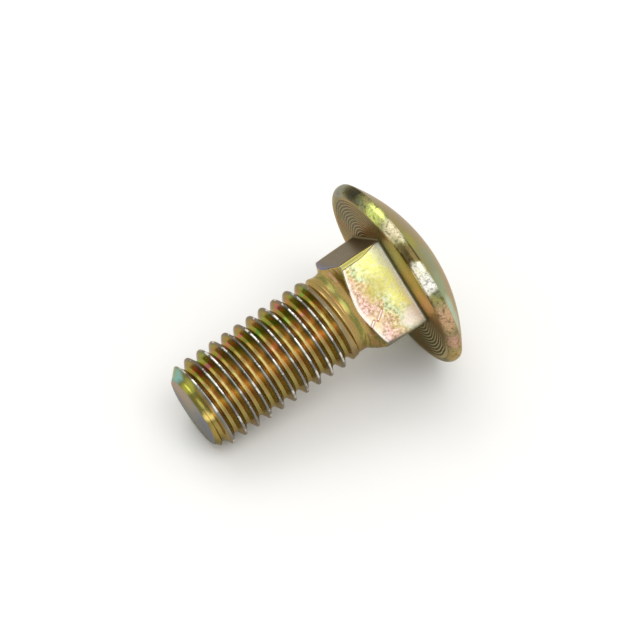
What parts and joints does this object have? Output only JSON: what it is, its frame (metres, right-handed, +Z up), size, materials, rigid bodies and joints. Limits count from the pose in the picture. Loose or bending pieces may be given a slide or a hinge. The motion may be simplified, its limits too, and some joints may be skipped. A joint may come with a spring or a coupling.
{
  "type": "carriage bolt",
  "caption": "Short round-head carriage bolt with a square neck, a right-hand thread along its whole shank and a chamfered flat point, in yellow zinc plate.",
  "frame": {"origin": "middle of the bottom of the bounding box, on the surface that the bolt lies on", "axes": "+Z up from that surface; +X towards the head, along the surface. The bolt's axis lies in the XZ plane and rises 13.87 degrees towards the head"},
  "size_m": [0.0382, 0.0274, 0.0267],
  "materials": {
    "yellow_zinc_steel": "steel, electroplated with zinc and passivated in yellow chromate, satin"
  },
  "bodies": {
    "root": {"carriage_bolt": "yellow_zinc_steel"}
  },
  "joints": []
}
